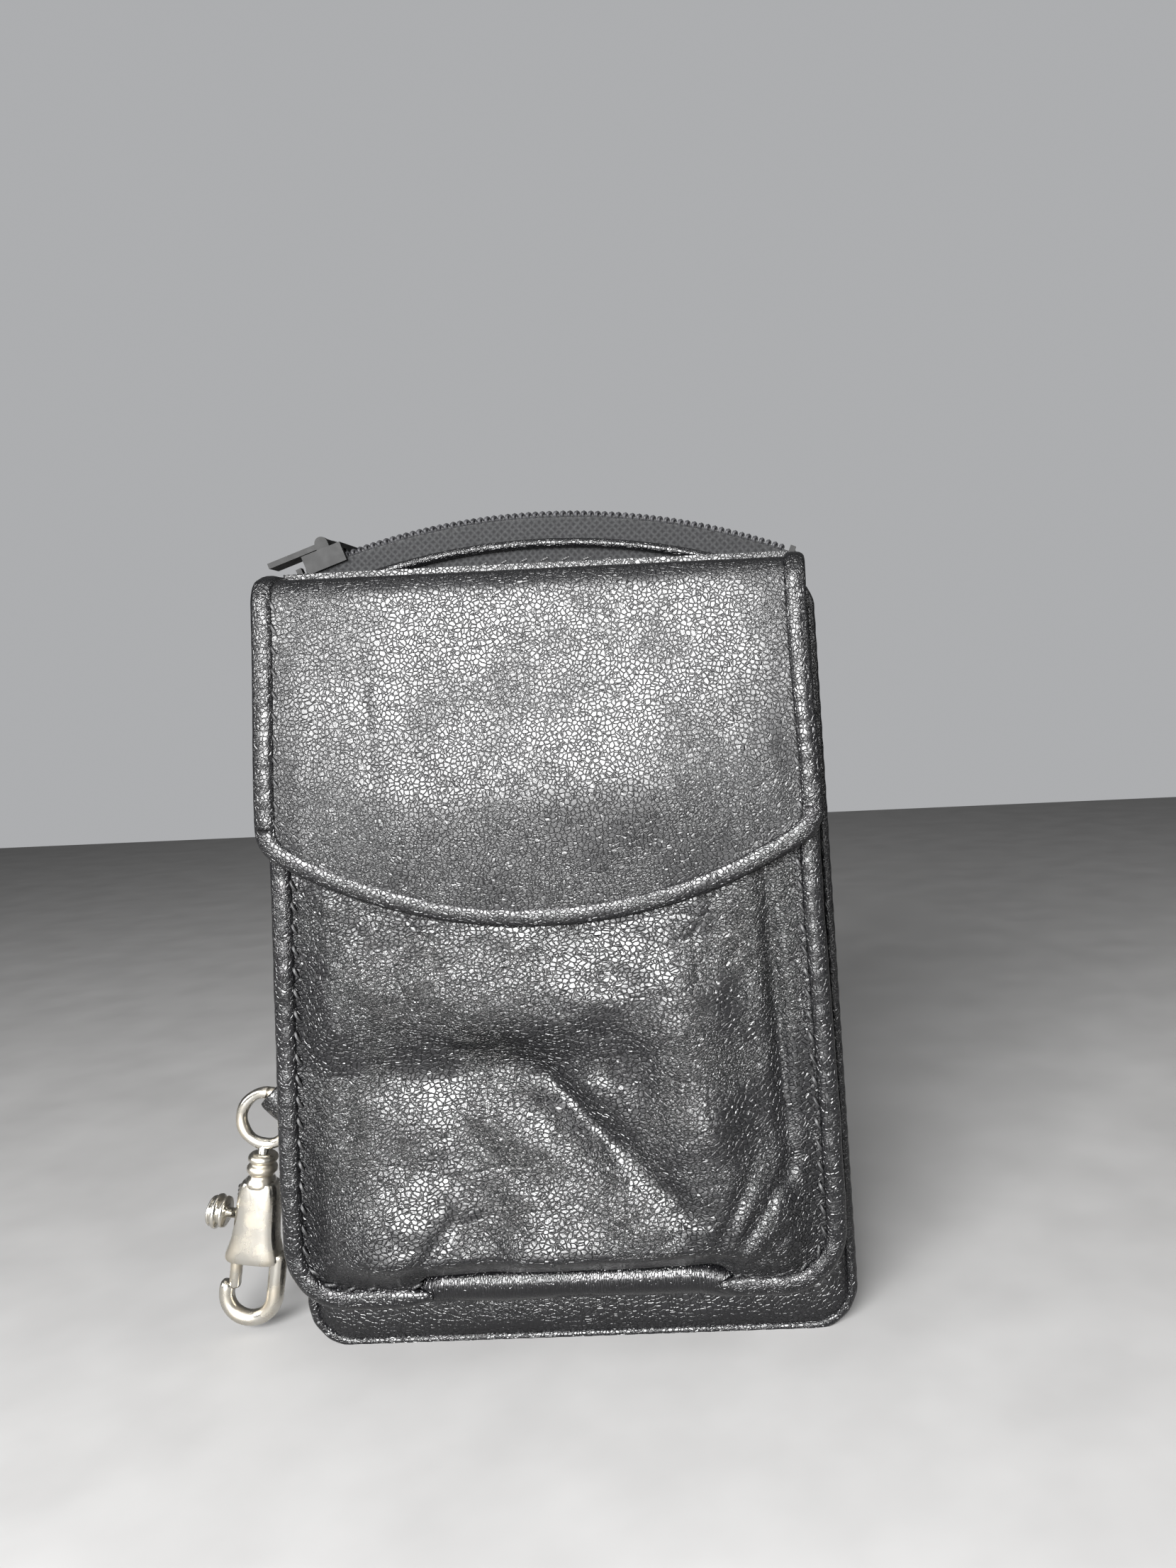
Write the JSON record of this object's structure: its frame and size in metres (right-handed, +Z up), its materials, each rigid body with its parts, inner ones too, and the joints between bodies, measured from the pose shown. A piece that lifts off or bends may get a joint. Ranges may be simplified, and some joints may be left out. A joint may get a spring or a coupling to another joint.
{
  "type": "neck pouch wallet",
  "caption": "Leather pouch wallet with an arched zip compartment, a flap pocket in front, a belt loop behind and a swivel snap hook on a side tab.",
  "frame": {"origin": "middle of the flat bottom of the zip compartment, which the pouch stands on", "axes": "+Z up towards the arched zip, +X to the right as seen from the front, +Y to the back; the flap faces -Y"},
  "size_m": [0.1214, 0.035, 0.1515],
  "materials": {
    "black_leather": "semi-gloss pebbled grain",
    "raw_leather": "matt flesh side with a raw cut edge",
    "lining_cloth": "plain woven",
    "thread": "waxed thread",
    "zip_tape": "herringbone woven tape",
    "zip_coil": "satin",
    "zip_metal": "black enamel",
    "snap_metal": "plated",
    "spring_steel": "drawn wire",
    "clasp_nickel": "worn nickel plate"
  },
  "bodies": {
    "pouch": {"back_panel": "black_leather", "back_lining": "lining_cloth", "compartment_gusset": "black_leather", "middle_panel": "black_leather", "middle_lining": "lining_cloth", "back_piping": "black_leather", "middle_piping": "black_leather", "zip_tape_front": "zip_tape", "zip_tape_back": "zip_tape", "zip_coil_front": "zip_coil", "zip_coil_back": "zip_coil", "zip_end_stops": "zip_metal", "pocket_back": "black_leather", "pocket_front": "black_leather", "pocket_lining": "lining_cloth", "pocket_gusset": "black_leather", "pocket_edge": "black_leather", "pocket_roll": "black_leather", "pocket_stitches": "thread", "back_stitches": "thread", "snap_socket": "snap_metal", "snap_socket_washer": "snap_metal", "belt_loop": "black_leather", "belt_loop_backing": "raw_leather", "belt_loop_stitches": "thread", "clasp_tab": "black_leather"},
    "flap_fold": {"flap_fold": "black_leather"},
    "flap": {"flap_leather": "black_leather", "flap_lining": "lining_cloth", "flap_edge": "black_leather", "flap_stitches": "thread", "snap_stud": "snap_metal", "snap_stud_washer": "snap_metal"},
    "zip_slider": {"zip_slider": "zip_metal"},
    "zip_pull": {"zip_pull": "zip_metal"},
    "clasp_eye": {"clasp_eye": "clasp_nickel"},
    "clasp_hook": {"clasp_hook": "clasp_nickel", "clasp_spring": "spring_steel"},
    "clasp_gate": {"clasp_gate": "clasp_nickel"}
  },
  "joints": [
    {"name": "fold_hinge", "type": "hinge", "parent": "pouch", "child": "flap_fold", "pos_m": [0, -0.00665, 0.1396], "axis": [-1, 0, 0], "range_deg": [0, 90]},
    {"name": "flap_hinge", "type": "hinge", "parent": "flap_fold", "child": "flap", "pos_m": [0, -0.01855, 0.1382], "axis": [-1, 0, 0], "range_deg": [0, 85.5]},
    {"name": "zip_travel", "type": "hinge", "parent": "pouch", "child": "zip_slider", "pos_m": [0, 0, 0.03], "axis": [0, 1, 0], "range_deg": [0, 38.34]},
    {"name": "pull_swing", "type": "hinge", "parent": "zip_slider", "child": "zip_pull", "pos_m": [-0.04082, 0, 0.14741], "axis": [0, 1, 0], "range_deg": [0, 160]},
    {"name": "eye_swing", "type": "hinge", "parent": "pouch", "child": "clasp_eye", "pos_m": [-0.05514, 0, 0.04446], "axis": [0.7071, 0, -0.7071], "range_deg": [-38, 38]},
    {"name": "hook_swivel", "type": "hinge", "parent": "clasp_eye", "child": "clasp_hook", "pos_m": [-0.0586, 0, 0.041], "axis": [0.1495, 0, 0.9888], "continuous": true},
    {"name": "gate_slide", "type": "slide", "parent": "clasp_hook", "child": "clasp_gate", "axis": [0.1495, 0, 0.9888], "range_m": [0, 0.004], "stiffness_N_per_m": 60, "deforming": ["clasp_spring"]}
  ],
  "couplings": [
    {"joint": "flap_hinge", "follows": "fold_hinge", "ratio": 0.95}
  ]
}
